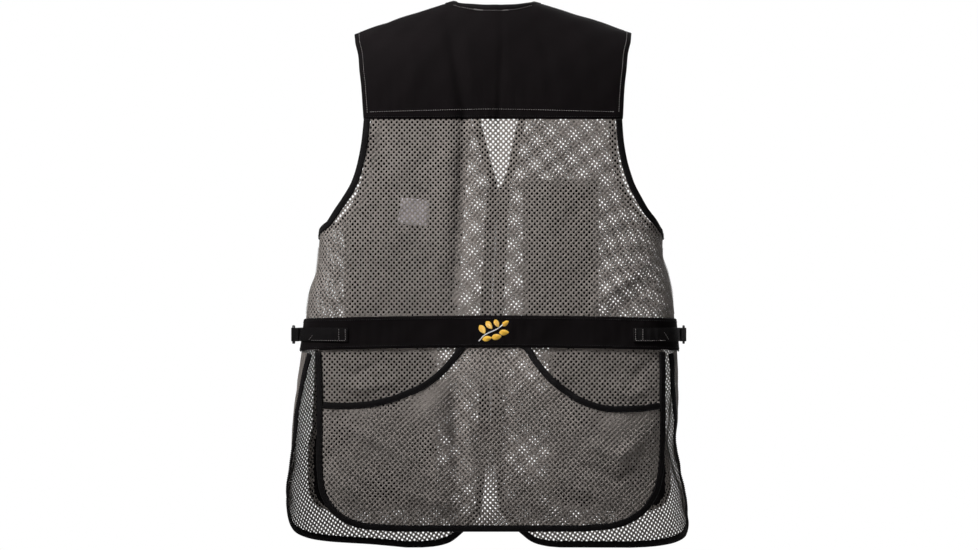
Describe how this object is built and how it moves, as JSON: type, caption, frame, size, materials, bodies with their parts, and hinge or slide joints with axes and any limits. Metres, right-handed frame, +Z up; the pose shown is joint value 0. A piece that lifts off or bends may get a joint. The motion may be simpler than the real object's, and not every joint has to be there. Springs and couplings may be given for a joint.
{
  "type": "mesh shooting vest",
  "caption": "Sleeveless mesh shooting vest with a dark yoke, a waist belt with side straps and a large rear pouch, open at the neck, arms and hem.",
  "frame": {"origin": "midway between the two points where the shoulder seams meet the neck, where the wearer's shoulders hold the vest", "axes": "+Z up, +Y towards the zip at the wearer's front, +X towards the wearer's right; the back with the pouch looks along -Y"},
  "size_m": [0.5365, 0.244, 0.7296],
  "materials": {
    "twill": "matt black cotton and polyester twill",
    "net": "taupe knitted polyester net with round holes",
    "tape": "black folded woven binding tape",
    "webbing": "black woven webbing",
    "label": "plain pale woven label",
    "plastic": "black moulded acetal",
    "steel": "black nickel plated zip metal"
  },
  "bodies": {
    "vest": {"armhole_binding_left": "tape", "armhole_binding_right": "tape", "back_belt": "twill", "back_mesh": "net", "back_neck_binding": "tape", "back_pouch": "net", "back_yoke": "twill", "chest_label": "label", "chest_patch_left": "twill", "chest_patch_right": "twill", "front_binding_left": "tape", "front_binding_right": "tape", "front_mesh_left": "net", "front_mesh_right": "net", "front_pocket_left": "twill", "front_pocket_right": "twill", "front_yoke_left": "twill", "front_yoke_right": "twill", "hanger_loop": "tape", "hem_binding_left": "tape", "hem_binding_right": "tape", "ladder_lock_left": "plastic", "ladder_lock_right": "plastic", "pouch_binding_left": "tape", "pouch_binding_right": "tape", "side_strap_back_left": "webbing", "side_strap_back_right": "webbing", "side_strap_front_left": "webbing", "side_strap_front_right": "webbing", "tail_binding": "tape", "zip_chain": "steel", "zip_slider": "steel", "zip_tape_left": "tape", "zip_tape_right": "tape"},
    "pull_tab": {"zip_pull_tab": "steel"}
  },
  "joints": [
    {"name": "pull_tab_hinge", "type": "hinge", "parent": "vest", "child": "pull_tab", "pos_m": [0.00713, 0.12857, -0.25631], "axis": [1, 0, 0], "range_deg": [0, 160]}
  ]
}
